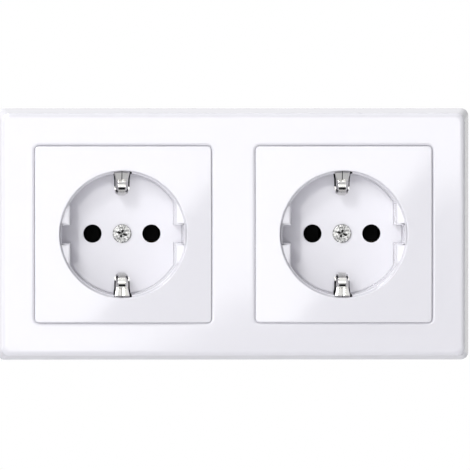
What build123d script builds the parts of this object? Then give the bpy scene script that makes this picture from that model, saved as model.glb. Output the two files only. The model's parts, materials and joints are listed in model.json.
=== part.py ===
from build123d import *
import math
import os

# Two-gang earthed wall socket outlet, in millimetres.
# +X runs to the right, +Z up, and the front faces -Y, so a larger Y is deeper.
# The wall plane is Y = 0, and the origin lies on it midway between the sockets.
# Each socket is drawn about its own axis and then moved to its gang.

# Cover frame
GANGS = ("left", "right")
GANG_PITCH = 71.0
FRAME_MARGIN = 5.0
FRAME_DEPTH = 9.8
FRAME_WALL = 2.0
FRAME_DRAFT = 1.6
FRAME_CORNER = 2.4
FRAME_EDGE = 1.2
LEDGE_REACH = 1.6
LEDGE_WALL = 1.6
COLLAR_WALL = 1.6
RIB_WALL = 1.2
RIB_SPREAD = 17.0

# Cover plate and plug well
PLATE_SIDE = 56.7
PLATE_GAP = 0.2
PLATE_CORNER = 0.8
PLATE_PROUD = 0.4
PLATE_WALL = 2.2
PLATE_RIM_DEPTH = 3.4
PLATE_RIM_WALL = 1.8
WELL_DEPTH = 17.5
WELL_MOUTH = 20.5
WELL_WALL = 1.5
WELL_FLOOR_WALL = 2.0
WELL_STEP_DEPTH = 2.2
WELL_STEP = 0.75
GUIDE_REACH = 2.75
GUIDE_NOTCH = 5.8

# Plug pins and their contacts
PIN_PITCH = 19.0
PIN_RADIUS = 2.4
PIN_LENGTH = 19.0
PIN_HOLE_CLEARANCE = 0.35
PIN_TIP_ROOM = 1.1
CONTACT_SHEET = 0.8
CONTACT_WIDTH = 6.0
CONTACT_PINCH = 0.25
CONTACT_SPRING_BACK = 0.35
CONTACT_FLARE = 1.05

# Earth bracket
EARTH_SHEET = 0.9
EARTH_BAR_WIDTH = 6.0
EARTH_TIP_WIDTH = 5.6
EARTH_CLIP_WIDTH = 4.5
EARTH_NOSE_WIDTH = 2.6
EARTH_TIP_INSET = 0.6
EARTH_TIP_DEPTH = 1.8
EARTH_LANE_LENGTH = 3.2
EARTH_LANE_DROP = 3.4
EARTH_CREST_LENGTH = 1.3
EARTH_CREST_RISE = 0.9
EARTH_PAD_LENGTH = 1.6
EARTH_PAD_DROP = 2.3
EARTH_NOSE_LENGTH = 1.1
EARTH_NOSE_DROP = 2.6
EARTH_ROOT_SETBACK = 2.0
EARTH_BEND = 0.7
EARTH_SLIT = 0.6
EARTH_BOSS_WALL = 1.1
EARTH_BOSS_DEPTH = 1.8

# Centre screw
SCREW_RADIUS = 1.5
SCREW_HEAD_RADIUS = 3.0
SCREW_HEAD_HEIGHT = 1.3
SCREW_TAIL = 3.0
DRIVE_SLOT = 0.8
DRIVE_CROSS = 3.8
DRIVE_DEPTH = 1.0
DRIVE_ANGLE = 45.0

# Support ring
RING_SHEET = 1.0
RING_SPACING = 1.0
RING_CORNER = 12.0
RING_LEG_WIDTH = 8.0
RING_LEG_LENGTH = 16.0
RING_HOOK = 1.0
FIXING_PITCH = 60.0
FIXING_SLOT_WIDTH = 3.8
FIXING_SLOT_LENGTH = 6.6

# Contact base and rear cover
BASE_SIDES = 8
BASE_WALL = 1.5
BASE_WEB = 2.0
BASE_POCKET_WALL = 2.0
COVER_WALL = 2.0
COVER_ARM_WIDTH = 6.0
COVER_ARM_LENGTH = 8.0
COVER_ARM_WALL = 1.2
COVER_BARB = 0.8

# Terminals for plug-in wires
WIRE_PITCH = 5.8
WIRE_HALF = 1.3
WIRE_FUNNEL = 0.4
EARTH_WIRE_INSET = 3.95
CLAMP_SHEET = 0.5
CLAMP_EDGE = 2.7
CLAMP_GAP = 1.9
CLAMP_FOLD = 0.7
CLAMP_TIP_DEPTH = 9.7
CLAMP_LOOP_DEPTH = 1.9
CLAMP_SHOULDER = 1.8
CLAMP_LOOP = 2.6
CLAMP_SLIT = 0.8
BUTTON_WIDTH = 4.4
BUTTON_THICKNESS = 1.6
BUTTON_TRAVEL = 1.6
BUTTON_PROUD = 0.8
BUTTON_FLANGE = 0.4
BUTTON_FLANGE_HEIGHT = 1.2
BUTTON_NOTCH = 0.8

# Expanding claws and their screws
CLAW_ANGLE = 45.0
CLAW_TILT = 20.0
CLAW_SHEET = 1.2
CLAW_CHANNEL = 4.4
CLAW_REACH = 6.0
CLAW_FRONT = 8.5
CLAW_LENGTH = 8.5
CLAW_TEETH = 4
CLAW_TOOTH = 0.9
CLAW_SCREW_RADIUS = 1.5
CLAW_SCREW_LENGTH = 22.0
CLAW_HEAD_RADIUS = 2.6
CLAW_HEAD_HEIGHT = 1.8

# Clearances
FIT = 0.05
SLIDE = 0.2
LOOSE = 0.3
CUP_ROOM = 0.5
CLAW_ROOM = 0.4

# Outside of the frame, which keeps one margin round all the gangs
FRAME_WIDTH = GANG_PITCH * len(GANGS) + 2 * FRAME_MARGIN
FRAME_HEIGHT = GANG_PITCH + 2 * FRAME_MARGIN

# Depths that follow from the sizes above
FRONT = -(FRAME_DEPTH + PLATE_PROUD)
LEDGE = FRONT + PLATE_RIM_DEPTH
LEDGE_BACK = LEDGE + LEDGE_WALL
STEP = FRONT + WELL_STEP_DEPTH
FLOOR = FRONT + WELL_DEPTH
FLOOR_BACK = FLOOR + WELL_FLOOR_WALL
CHANNEL = FLOOR_BACK + LOOSE + EARTH_SHEET
CHAMBER = FLOOR_BACK + BASE_WEB
BASE_BACK = FLOOR + PIN_LENGTH + PIN_TIP_ROOM
COVER_BACK = BASE_BACK + COVER_WALL

# Radii and offsets that follow from the sizes above
WELL_RADIUS = WELL_MOUTH - WELL_STEP
CUP_OUTSIDE = WELL_RADIUS + WELL_WALL
CUP_BORE = CUP_OUTSIDE + CUP_ROOM
BASE_FLAT = CUP_BORE + BASE_WALL
PIN_X = PIN_PITCH / 2
PRONG_PINCH = PIN_RADIUS - CONTACT_PINCH + CONTACT_SHEET / 2
PRONG_BACK = PRONG_PINCH + CONTACT_SPRING_BACK
PRONG_FLARE = PRONG_PINCH + CONTACT_FLARE
CHAMBER_HALF = PRONG_FLARE + CONTACT_SHEET / 2 + LOOSE
TERMINAL_ROOM = PRONG_BACK - CONTACT_SHEET / 2 + CHAMBER_HALF
CLAMP_WIDTH = WIRE_PITCH + 2 * CLAMP_EDGE
WIRE_CENTRE = CONTACT_WIDTH / 2 + CLAMP_GAP + CLAMP_WIDTH / 2
EARTH_WIRE_CENTRE = CUP_BORE - EARTH_WIRE_INSET - CLAMP_WIDTH / 2
CLAMP_LEG = TERMINAL_ROOM - LOOSE - CLAMP_SHEET / 2
BUTTON_CENTRE = CLAMP_LEG - CLAMP_SHEET / 2 - LOOSE - BUTTON_FLANGE - BUTTON_THICKNESS / 2
EARTH_PLATE = EARTH_BAR_WIDTH / 2 - EARTH_SHEET
EARTH_THREAD = SCREW_RADIUS + FIT
EARTH_BOSS = EARTH_THREAD + EARTH_BOSS_WALL
EARTH_TIP = WELL_MOUTH - EARTH_TIP_INSET
EARTH_LANE = EARTH_TIP - EARTH_LANE_LENGTH
EARTH_CREST = EARTH_LANE - EARTH_CREST_LENGTH
EARTH_PAD = EARTH_CREST - EARTH_PAD_LENGTH
EARTH_NOSE = EARTH_PAD - EARTH_NOSE_LENGTH
EARTH_ROOT = EARTH_LANE - EARTH_ROOT_SETBACK
BAR_PLANE = CHANNEL - EARTH_SHEET / 2
CLAW_HINGE = BASE_FLAT + CLAW_ROOM
CLAW_AXIS = CLAW_HINGE + CLAW_HEAD_RADIUS


def gang_centre(index):
    return (index - (len(GANGS) - 1) / 2) * GANG_PITCH


def prism(outline, start, end):
    """Carries an outline seen from the front, x right and z up, from one depth to another."""
    return extrude(Plane.XZ.offset(-end) * outline, end - start)


def area(left, right, low, high):
    return Pos((left + right) / 2, (low + high) / 2) * Rectangle(right - left, high - low)


def square(half):
    return Rectangle(2 * half, 2 * half)


def bent_strip(line, thickness, width):
    """Sheet strip whose centre line lies in XY, with its width spread evenly about that plane."""
    return extrude(trace(line, thickness), width / 2, both=True).clean()


def tapered(width, height, draft, start, end):
    """Block between two depths that is smaller at the front by the draft on every side."""
    front_width, front_height = width - 2 * draft, height - 2 * draft
    block = Wedge(front_width, end - start, front_height, -draft, -draft, front_width + draft,
                  front_height + draft)
    return Pos(0, (start + end) / 2, 0) * block


def half_turn(piece):
    return Rot(0, 180, 0) * piece


def to_claw(piece):
    return Rot(0, -CLAW_ANGLE, 0) * piece


# Cover frame


def plate_outline():
    return chamfer(Rectangle(PLATE_SIDE, PLATE_SIDE).vertices(), PLATE_CORNER)


def frame_ribs():
    """Bars across the back of the frame that tie the window collars to the outer walls."""
    half = RIB_WALL / 2
    side = FRAME_WIDTH / 2 - FRAME_DRAFT - FRAME_WALL / 2
    top = FRAME_HEIGHT / 2 - FRAME_DRAFT - FRAME_WALL / 2
    ribs = [area(-side, side, z - half, z + half) for z in (-RIB_SPREAD, RIB_SPREAD)]
    for index in range(len(GANGS)):
        for x in (gang_centre(index) - RIB_SPREAD, gang_centre(index) + RIB_SPREAD):
            ribs.append(area(x - half, x + half, -top, top))
    return ribs


def cover_frame():
    window = offset(plate_outline(), PLATE_GAP, kind=Kind.INTERSECTION)
    opening = PLATE_SIDE + 2 * PLATE_GAP
    collar = square(opening / 2 + COLLAR_WALL)
    passage = square(opening / 2 - LEDGE_REACH)
    skin = FRAME_WALL - FRAME_DEPTH
    frame = tapered(FRAME_WIDTH, FRAME_HEIGHT, FRAME_DRAFT, -FRAME_DEPTH, 0)
    rims = frame.faces().sort_by(Axis.Y)
    corners = [edge for edge in frame.edges() if edge not in rims[0].edges() + rims[-1].edges()]
    frame = fillet(corners, FRAME_CORNER)
    frame = fillet(frame.faces().sort_by(Axis.Y)[0].edges(), FRAME_EDGE)
    frame -= tapered(FRAME_WIDTH - 2 * FRAME_WALL, FRAME_HEIGHT - 2 * FRAME_WALL,
                     FRAME_DRAFT * -skin / FRAME_DEPTH, skin, 0)
    for rib in frame_ribs():
        frame += prism(rib, skin, LEDGE_BACK)
    for index in range(len(GANGS)):
        frame += prism(Pos(gang_centre(index), 0) * collar, skin, LEDGE_BACK)
    for index in range(len(GANGS)):
        frame -= prism(Pos(gang_centre(index), 0) * window, -FRAME_DEPTH, LEDGE)
        frame -= prism(Pos(gang_centre(index), 0) * passage, LEDGE, LEDGE_BACK)
    return frame


# Cover plate with the plug well


def plug_well():
    """The space a plug enters: a stepped round well with a notched guide flat on each side."""
    well = prism(Circle(WELL_MOUTH), FRONT, STEP)
    well += prism(Circle(WELL_RADIUS), STEP, FLOOR)
    guide = area(WELL_RADIUS - GUIDE_REACH, WELL_MOUTH, GUIDE_NOTCH / 2, WELL_MOUTH)
    for side in (guide, mirror(guide, Plane.YZ)):
        well -= prism(side, STEP, FLOOR)
        well -= prism(mirror(side, Plane.XZ), STEP, FLOOR)
    return well


def clip_outline():
    """Front view of the upper earth clip: a flared tip, an even middle and a narrow nose."""
    tip, middle, nose = EARTH_TIP_WIDTH / 2, EARTH_CLIP_WIDTH / 2, EARTH_NOSE_WIDTH / 2
    half = [(nose, EARTH_NOSE - EARTH_SHEET / 2), (nose, (EARTH_NOSE + EARTH_PAD) / 2), (middle, EARTH_PAD),
            (middle, (EARTH_LANE + EARTH_TIP) / 2), (tip, EARTH_TIP), (tip, EARTH_TIP + EARTH_SHEET / 2)]
    return make_face(Polyline(*half, *[(-x, z) for x, z in reversed(half)], close=True))


def clip_slot():
    """Way through the well floor, and recess in its wall, that let the plate pass over the earth clip."""
    return prism(offset(clip_outline(), LOOSE, kind=Kind.INTERSECTION), STEP, FLOOR_BACK)


def cover_plate():
    plate = prism(plate_outline(), FRONT, LEDGE)
    plate -= prism(square(PLATE_SIDE / 2 - PLATE_RIM_WALL), FRONT + PLATE_WALL, LEDGE)
    plate += prism(base_outline(CUP_OUTSIDE), FRONT + PLATE_WALL / 2, FLOOR_BACK)
    plate -= plug_well()
    plate -= clip_slot()
    plate -= half_turn(clip_slot())
    for x in (-PIN_X, PIN_X):
        plate -= prism(Pos(x, 0) * Circle(PIN_RADIUS + PIN_HOLE_CLEARANCE), FLOOR, FLOOR_BACK)
    return plate - prism(square(SCREW_RADIUS + SLIDE), FLOOR, FLOOR_BACK)


def centre_screw():
    """Low head on the well floor, with a cross recess and a wide slot for a blade."""
    top = FLOOR - SCREW_HEAD_HEIGHT
    screw = prism(Circle(SCREW_HEAD_RADIUS), top, FLOOR)
    screw += prism(Circle(SCREW_RADIUS), FLOOR, CHANNEL + EARTH_BOSS_DEPTH + SCREW_TAIL)
    blade = Rot(0, 0, DRIVE_ANGLE) * Rectangle(2 * SCREW_HEAD_RADIUS + DRIVE_SLOT, DRIVE_SLOT)
    screw -= prism(blade, top, top + DRIVE_DEPTH / 2)
    arm = Rot(0, 0, DRIVE_ANGLE) * Rectangle(DRIVE_CROSS, DRIVE_SLOT)
    return screw - prism(arm + Rot(0, 0, 90) * arm, top, top + DRIVE_DEPTH)


# Earth bracket


def earth_arm():
    """Upper contact arm: lanes slope in from the tip, rise to a crest, fall to the nose and return."""
    tip = FRONT + EARTH_TIP_DEPTH
    lane = tip + EARTH_LANE_DROP
    crest = lane - EARTH_CREST_RISE
    pad = crest + EARTH_PAD_DROP
    nose = pad + EARTH_NOSE_DROP
    route = [(EARTH_TIP, tip), (EARTH_LANE, lane), (EARTH_CREST, crest), (EARTH_PAD, pad), (EARTH_NOSE, nose),
             (EARTH_ROOT, (nose + BAR_PLANE) / 2), (EARTH_ROOT, BAR_PLANE), (0, BAR_PLANE)]
    bends = [0, 0, 0, EARTH_BEND, 0, 0]
    upright = Plane((0, 0, 0), x_dir=(0, 0, 1), z_dir=(-1, 0, 0))
    arm = upright * bent_strip(FilletPolyline(*route, radius=bends), EARTH_SHEET, EARTH_BAR_WIDTH)
    end = CHANNEL - EARTH_SHEET
    clip = prism(clip_outline(), FRONT, end)
    bar = prism(square(EARTH_TIP), end, CHANNEL)
    slit = area(-EARTH_SLIT / 2, EARTH_SLIT / 2, EARTH_LANE + EARTH_SLIT, EARTH_TIP + EARTH_SHEET)
    return (arm & (clip + bar)) - prism(slit, FRONT, lane)


def earth_bracket():
    """One strip with a contact arm at each end, a tapped boss between and a tongue for the earth wires."""
    end = CHANNEL + EARTH_BOSS_DEPTH
    bracket = earth_arm() + half_turn(earth_arm())
    bracket += prism(square(EARTH_BOSS), BAR_PLANE, end)
    tongue = area(EARTH_PLATE, EARTH_PLATE + EARTH_SHEET, -EARTH_WIRE_CENTRE - CLAMP_WIDTH / 2,
                  CLAMP_WIDTH / 2 - EARTH_WIRE_CENTRE)
    bracket += prism(tongue, CHANNEL, BASE_BACK - LOOSE)
    return bracket - prism(Circle(EARTH_THREAD), BAR_PLANE - EARTH_SHEET, end)


# Contacts, clamp springs and release buttons


def line_contact():
    """Two flared prongs that grip a pin, tied by a bridge beside it, with a plate for the wires outside."""
    tip = FLOOR_BACK + LOOSE
    throat = tip + 2 * CONTACT_FLARE
    waist = (throat + BASE_BACK) / 2
    route = Polyline((PRONG_FLARE, tip), (PRONG_PINCH, throat), (PRONG_BACK, waist), (PRONG_BACK, BASE_BACK))
    prong = bent_strip(route, CONTACT_SHEET, CONTACT_WIDTH)
    prong &= Pos(PRONG_BACK, (tip + BASE_BACK) / 2, 0) * Box(PRONG_FLARE, BASE_BACK - tip, CONTACT_WIDTH)
    contact = prong + mirror(prong, Plane.YZ)
    beside, outer = PIN_RADIUS + SLIDE, -PRONG_BACK - CONTACT_SHEET / 2
    bridge = area(-PRONG_BACK, PRONG_BACK, beside, beside + CONTACT_SHEET)
    plate = area(outer, outer + CONTACT_SHEET, CONTACT_WIDTH / 2 - CONTACT_SHEET,
                 WIRE_CENTRE + CLAMP_WIDTH / 2)
    contact += prism(bridge, waist, BASE_BACK)
    contact += prism(plate, waist, BASE_BACK)
    return Pos(-PIN_X, 0, 0) * contact


def clamp_spring():
    """Hairpin leaf: a fixed leg, a loop at the front and a slit clamping leg that ends at the wire plate.
    X is the distance from that plate, and Z is counted from the middle of the wires."""
    loop = CHAMBER + CLAMP_LOOP_DEPTH
    route = [(CLAMP_LEG, BASE_BACK - LOOSE), (CLAMP_LEG, loop + CLAMP_SHOULDER),
             (CLAMP_LOOP + CLAMP_FOLD, loop), (CLAMP_LOOP - CLAMP_FOLD, loop),
             (CLAMP_SHEET, CHAMBER + CLAMP_TIP_DEPTH)]
    spring = bent_strip(Polyline(*route), CLAMP_SHEET, CLAMP_WIDTH)
    slit = area(-CLAMP_SHEET, CLAMP_LOOP, -CLAMP_SLIT / 2, CLAMP_SLIT / 2)
    return spring - prism(slit, loop + CLAMP_SHOULDER, BASE_BACK)


def release_button():
    """Push piece beside the wires, with a flange that keeps it behind the rear cover."""
    half = BUTTON_THICKNESS / 2
    stem = area(BUTTON_CENTRE - half, BUTTON_CENTRE + half, -BUTTON_WIDTH / 2, BUTTON_WIDTH / 2)
    nose = CHAMBER + CLAMP_LOOP_DEPTH + CLAMP_SHOULDER + BUTTON_TRAVEL + LOOSE
    top = COVER_BACK + BUTTON_PROUD
    button = prism(stem, nose, top)
    flange = offset(stem, BUTTON_FLANGE, kind=Kind.INTERSECTION)
    button += prism(flange, BASE_BACK - SLIDE - BUTTON_FLANGE_HEIGHT, BASE_BACK - SLIDE)
    notch = area(BUTTON_CENTRE - half, BUTTON_CENTRE + half, -BUTTON_NOTCH / 2, BUTTON_NOTCH / 2)
    return button - prism(notch, top - BUTTON_NOTCH, top)


def to_line(piece):
    return Pos(-PIN_X - PRONG_BACK + CONTACT_SHEET / 2, 0, WIRE_CENTRE) * piece


def to_earth(piece):
    return Pos(EARTH_PLATE, 0, -EARTH_WIRE_CENTRE) * half_turn(piece)


# Support ring, contact base and rear cover


def claw_slot():
    """Radial slot that lets the claw screw tilt about the inner edge of its head."""
    tilt = math.radians(CLAW_TILT)
    half = CLAW_SCREW_RADIUS + LOOSE
    far = CLAW_HEAD_RADIUS + CLAW_SCREW_RADIUS
    lean = (RING_SHEET + far * math.sin(tilt)) / math.cos(tilt)
    outer = CLAW_HINGE + far * math.cos(tilt) + lean * math.sin(tilt) + LOOSE
    return Rot(0, 0, CLAW_ANGLE) * area(CLAW_AXIS - half, outer, -half, half)


def base_outline(flat):
    return RegularPolygon(flat, BASE_SIDES, major_radius=False, rotation=180 / BASE_SIDES)


def ring_leg():
    """Leg folded back from the ring's upper opening edge, with a hook that holds the base."""
    half = RING_LEG_WIDTH / 2
    near = BASE_FLAT + FIT
    leg = prism(area(-half, half, near, near + RING_SHEET), -RING_SHEET, RING_LEG_LENGTH)
    return leg + prism(area(-half, half, BASE_FLAT - RING_HOOK, near), RING_LEG_LENGTH - RING_SHEET,
                       RING_LEG_LENGTH)


def support_ring():
    outline = square((GANG_PITCH - RING_SPACING) / 2)
    outline = chamfer(outline.vertices(), RING_CORNER)
    outline -= base_outline(CUP_BORE)
    fixing = Pos(FIXING_PITCH / 2, 0) * SlotOverall(FIXING_SLOT_LENGTH, FIXING_SLOT_WIDTH)
    relief = area(-RING_LEG_WIDTH / 2 - LOOSE, RING_LEG_WIDTH / 2 + LOOSE, 0, BASE_FLAT + FIT)
    for cut in (fixing, relief, claw_slot()):
        outline -= cut
        outline -= Rot(0, 0, 180) * cut
    return prism(outline, -RING_SHEET, 0) + ring_leg() + half_turn(ring_leg())


def contact_chamber():
    """Room for the line contact, open to the pin hole, and for its wires and clamp spring."""
    left, right = -PIN_X - CHAMBER_HALF, CHAMBER_HALF - PIN_X
    low, high = -CONTACT_WIDTH / 2 - LOOSE, CONTACT_WIDTH / 2 + LOOSE
    chamber = prism(area(left, right, low, high), FLOOR_BACK, BASE_BACK)
    return chamber + prism(area(left, right, low, WIRE_CENTRE + CLAMP_WIDTH / 2 + LOOSE), CHAMBER, BASE_BACK)


def earth_chamber():
    """Channel for the bracket's bar, its boss and the screw's tail, and the room for the earth wires."""
    channel = EARTH_BAR_WIDTH / 2 + LOOSE
    reach = EARTH_ROOT + EARTH_SHEET / 2 + LOOSE
    tail = CHANNEL + EARTH_BOSS_DEPTH + LOOSE
    half = CLAMP_WIDTH / 2 + LOOSE
    room = prism(area(-channel, channel, -reach, reach), FLOOR_BACK, CHANNEL)
    room += prism(square(EARTH_BOSS + LOOSE), CHANNEL, tail)
    room += prism(square(SCREW_RADIUS + LOOSE), tail, tail + SCREW_TAIL)
    return room + prism(area(EARTH_PLATE - TERMINAL_ROOM, channel, -EARTH_WIRE_CENTRE - half,
                             half - EARTH_WIRE_CENTRE), CHANNEL, BASE_BACK)


def corner_pocket():
    """Moulded-out corner beside the neutral contact, which keeps the walls even."""
    start = CONTACT_WIDTH / 2 + LOOSE + BASE_POCKET_WALL
    end = (BASE_FLAT - BASE_POCKET_WALL) / math.sqrt(2)
    return prism(area(start, end, start, end), CHAMBER, BASE_BACK)


def hook_recess():
    half = RING_LEG_WIDTH / 2 + LOOSE
    recess = area(-half, half, BASE_FLAT - RING_HOOK - LOOSE, BASE_FLAT)
    return prism(recess, RING_LEG_LENGTH - RING_SHEET, RING_LEG_LENGTH + LOOSE)


def barb_recess():
    half = COVER_ARM_WIDTH / 2 + LOOSE
    front = COVER_BACK - COVER_ARM_LENGTH
    return prism(area(BASE_FLAT - COVER_BARB - LOOSE, BASE_FLAT, -half, half), front - LOOSE,
                 front + COVER_ARM_WALL)


def base_collar():
    """Sleeve that the ring's legs clamp between ring and base, round the cup of the plug well."""
    return prism(base_outline(BASE_FLAT) - base_outline(CUP_BORE), 0, FLOOR_BACK)


def contact_base():
    base = prism(base_outline(BASE_FLAT), FLOOR_BACK, BASE_BACK)
    base -= earth_chamber()
    for cut in (contact_chamber(), corner_pocket(), hook_recess(), barb_recess()):
        base -= cut
        base -= half_turn(cut)
    return base


def wire_funnel():
    """Square opening that widens towards the back by the funnel's flare on every side."""
    side = 2 * WIRE_HALF
    low, high = -WIRE_FUNNEL, side + WIRE_FUNNEL
    return Pos(0, (BASE_BACK + COVER_BACK) / 2, 0) * Wedge(side, COVER_WALL, side, low, low, high, high)


def terminal_openings():
    """Two wire funnels and the button's window, in the same frame as the clamp spring."""
    half = BUTTON_THICKNESS / 2 + SLIDE
    tall = BUTTON_WIDTH / 2 + SLIDE
    cut = prism(area(BUTTON_CENTRE - half, BUTTON_CENTRE + half, -tall, tall), BASE_BACK, COVER_BACK)
    for z in (-WIRE_PITCH / 2, WIRE_PITCH / 2):
        cut += Pos(WIRE_HALF, 0, z) * wire_funnel()
    return cut


def cover_arm():
    """Snap arm along the base's right side, with a barb at its front end."""
    half = COVER_ARM_WIDTH / 2
    near = BASE_FLAT + FIT
    front = COVER_BACK - COVER_ARM_LENGTH
    arm = prism(area(near, near + COVER_ARM_WALL, -half, half), front, COVER_BACK)
    arm += prism(area(BASE_FLAT, near, -half, half), BASE_BACK, COVER_BACK)
    return arm + prism(area(BASE_FLAT - COVER_BARB, near, -half, half), front, front + COVER_ARM_WALL)


def rear_cover():
    cover = prism(base_outline(BASE_FLAT), BASE_BACK, COVER_BACK) + cover_arm() + half_turn(cover_arm())
    line = to_line(terminal_openings())
    return cover - line - half_turn(line) - to_earth(terminal_openings())


# Expanding claws, drawn with the outward direction along X


def claw():
    """Channel with a tapped web at the back and toothed wings that bite into the wall box."""
    end = CLAW_FRONT + CLAW_LENGTH
    inner, outer = CLAW_HINGE, CLAW_HINGE + CLAW_REACH
    pitch = CLAW_LENGTH / CLAW_TEETH
    teeth = []
    for tooth in range(CLAW_TEETH):
        crest = outer - CLAW_TOOTH * (CLAW_TEETH - 1 - tooth) / CLAW_TEETH
        teeth += [(crest - CLAW_TOOTH, CLAW_FRONT + pitch * tooth), (crest, CLAW_FRONT + pitch * (tooth + 1))]
    wing = make_face(Polyline((inner, end), (inner, CLAW_FRONT), *teeth, close=True))
    half = CLAW_CHANNEL / 2
    wings = extrude(wing, half + CLAW_SHEET, both=True) - extrude(wing, half, both=True)
    web = prism(area(inner, outer - CLAW_TOOTH, -half, half), end - CLAW_SHEET, end)
    web -= prism(Pos(CLAW_AXIS, 0) * Circle(CLAW_SCREW_RADIUS + FIT), end - CLAW_SHEET, end)
    return wings + web


def claw_screw():
    top = -RING_SHEET - CLAW_HEAD_HEIGHT
    screw = prism(Circle(CLAW_HEAD_RADIUS), top, -RING_SHEET)
    screw += prism(Circle(CLAW_SCREW_RADIUS), -RING_SHEET, CLAW_SCREW_LENGTH - RING_SHEET)
    return Pos(CLAW_AXIS, 0, 0) * screw


# One socket's pieces, and both sockets in their frame


def socket_pieces():
    contact = line_contact()
    spring, button = clamp_spring(), release_button()
    upper_claw, upper_screw = to_claw(claw()), to_claw(claw_screw())
    return {
        "cover_plate": cover_plate(),
        "centre_screw": centre_screw(),
        "support_ring": support_ring(),
        "base_collar": base_collar(),
        "contact_base": contact_base(),
        "rear_cover": rear_cover(),
        "earth_bracket": earth_bracket(),
        "line_contact": contact,
        "neutral_contact": half_turn(contact),
        "line_clamp_spring": to_line(spring),
        "neutral_clamp_spring": half_turn(to_line(spring)),
        "earth_clamp_spring": to_earth(spring),
        "line_release_button": to_line(button),
        "neutral_release_button": half_turn(to_line(button)),
        "earth_release_button": to_earth(button),
        "upper_claw": upper_claw,
        "lower_claw": half_turn(upper_claw),
        "upper_claw_screw": upper_screw,
        "lower_claw_screw": half_turn(upper_screw),
    }


os.makedirs("parts", exist_ok=True)
export_step(cover_frame(), "parts/cover_frame.step")
pieces = socket_pieces()
for index, gang in enumerate(GANGS):
    for name, piece in pieces.items():
        export_step(Pos(gang_centre(index), 0, 0) * piece, f"parts/{gang}_{name}.step")
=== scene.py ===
import json
import math

import bmesh
import bpy
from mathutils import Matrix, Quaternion, Vector


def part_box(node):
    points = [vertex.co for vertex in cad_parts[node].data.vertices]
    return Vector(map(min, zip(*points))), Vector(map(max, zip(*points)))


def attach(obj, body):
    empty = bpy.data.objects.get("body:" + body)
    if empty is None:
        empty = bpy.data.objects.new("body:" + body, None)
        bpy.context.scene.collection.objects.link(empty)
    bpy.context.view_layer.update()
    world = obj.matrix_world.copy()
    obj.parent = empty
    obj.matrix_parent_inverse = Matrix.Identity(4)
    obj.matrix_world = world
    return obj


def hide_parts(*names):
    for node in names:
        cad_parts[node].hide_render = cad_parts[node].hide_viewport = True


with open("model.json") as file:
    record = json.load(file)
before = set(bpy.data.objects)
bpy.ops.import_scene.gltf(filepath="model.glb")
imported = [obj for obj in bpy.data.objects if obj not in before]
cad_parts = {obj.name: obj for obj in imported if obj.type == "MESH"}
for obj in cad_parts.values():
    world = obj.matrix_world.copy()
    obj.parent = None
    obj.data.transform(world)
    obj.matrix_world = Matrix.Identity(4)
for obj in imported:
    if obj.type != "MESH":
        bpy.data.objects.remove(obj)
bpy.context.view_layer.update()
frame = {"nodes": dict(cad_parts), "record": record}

# Two-gang earthed wall socket outlet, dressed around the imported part.
# Sizes are in millimetres. X runs right, Z up, and a larger depth along Y lies further into the wall.
MM = 0.001
ROOT = "outlet"
GANGS = ("left", "right")

# Shared by all shapes: how far a cutter reaches past a face, and the radius of plain inner corners
CUT_PAST = 1.0
INNER_CORNER = 0.4
# Distances in metres within which points are one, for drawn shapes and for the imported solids
WELD, NODE_WELD = 1e-7, 2e-6
# Largest area, in square metres, of a flap that a cut leaves on an edge
SLIVER = 1e-10
# Angles in degrees: facets of one flat face, tool edges that get a round, and edges that are shaded hard
FLAT_ANGLE, TOOL_EDGE, HARD_EDGE = 0.6, 30, 32
EASE_STEPS = 2
# Steps in a quarter bend: small rounds, the rounds of guides and plate rim, and the round at the well's floor
ROUND_STEPS, RIM_STEPS, FLOOR_STEPS = 5, 6, 8

# Depths of the part's own faces
PLATE_FRONT = -10.2
FRAME_FRONT = -9.8
WELL_LEDGE = -8.0
FRAME_SKIN = -7.8
PLATE_SEAT = -6.8
SEAT_BACK = -5.2
WELL_FLOOR = 7.3
FLOOR_BACK = 9.3

# Plug well and cover plate
WELL_RADIUS = 19.75
GUIDE_FLAT = 17.0
NOTCH_HALF = 2.9
NOTCH_DRAFT = 0.3
WALL_DRAFT = 0.35
FLOOR_ROUND = 0.3
FLOOR_DISH = 0.09
DISH_WIDTH = 4.4
DISH_START = 0.6
DISH_STEPS = 12
DISH_NEAR = 0.01
LEDGE_ROUND = 0.2
GUIDE_ROUND = 0.6
MOUTH_FOOT = 20.0
MOUTH_TOP = 20.55
MOUTH_ROUND = 0.2
PLATE_HALF = 28.42
PLATE_CORNER = 1.3
PLATE_ROUND = 0.32
PLATE_CROWN = 0.44
PLATE_CROWN_LIMIT = PLATE_FRONT + 0.5
PLATE_WALL = 2.2
PLATE_RIM = 1.8
CUP_FLAT = 21.25
CUP_ROUND = 0.4
PIN_X = 9.5
PIN_HOLE = 2.92
LIP = 0.45
PIN_HOLE_ROUND = 0.12
PIN_HOLE_STAND = 0.02
PIN_HOLE_FLARE = 0.9
PIN_HOLE_POINTS = 64
SCREW_HOLE = 1.7
SCREW_HOLE_POINTS = 32
# Half of a clip slot's outline as half width and height: down to the floor's lip, and behind the floor
CLIP_SLOT = [(1.7, 13.75), (2.2, 13.9), (2.42, 14.3), (2.5, 17.5), (2.85, 19.86), (2.85, 20.65)]
CLIP_SLOT_BACK = [(1.7, 13.0), (2.9, 13.2), (3.2, 14.0), (3.2, 17.5), (3.2, 19.86), (3.2, 20.65)]
CLIP_SLOT_FRONT = -9.2

# Cover frame
FRAME_WIDTH = 152.0
FRAME_HEIGHT = 81.0
FRAME_CORNER = 2.4
FRAME_WALL = 2.0
FRAME_DRAFT = 1.6
FRAME_EDGE = 1.5
FRAME_CROWN_X, FRAME_CROWN_Z = 0.6, 0.48
FRAME_CROWN_LIMIT = FRAME_SKIN - 0.4
HOLLOW_CORNER = 0.6
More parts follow.
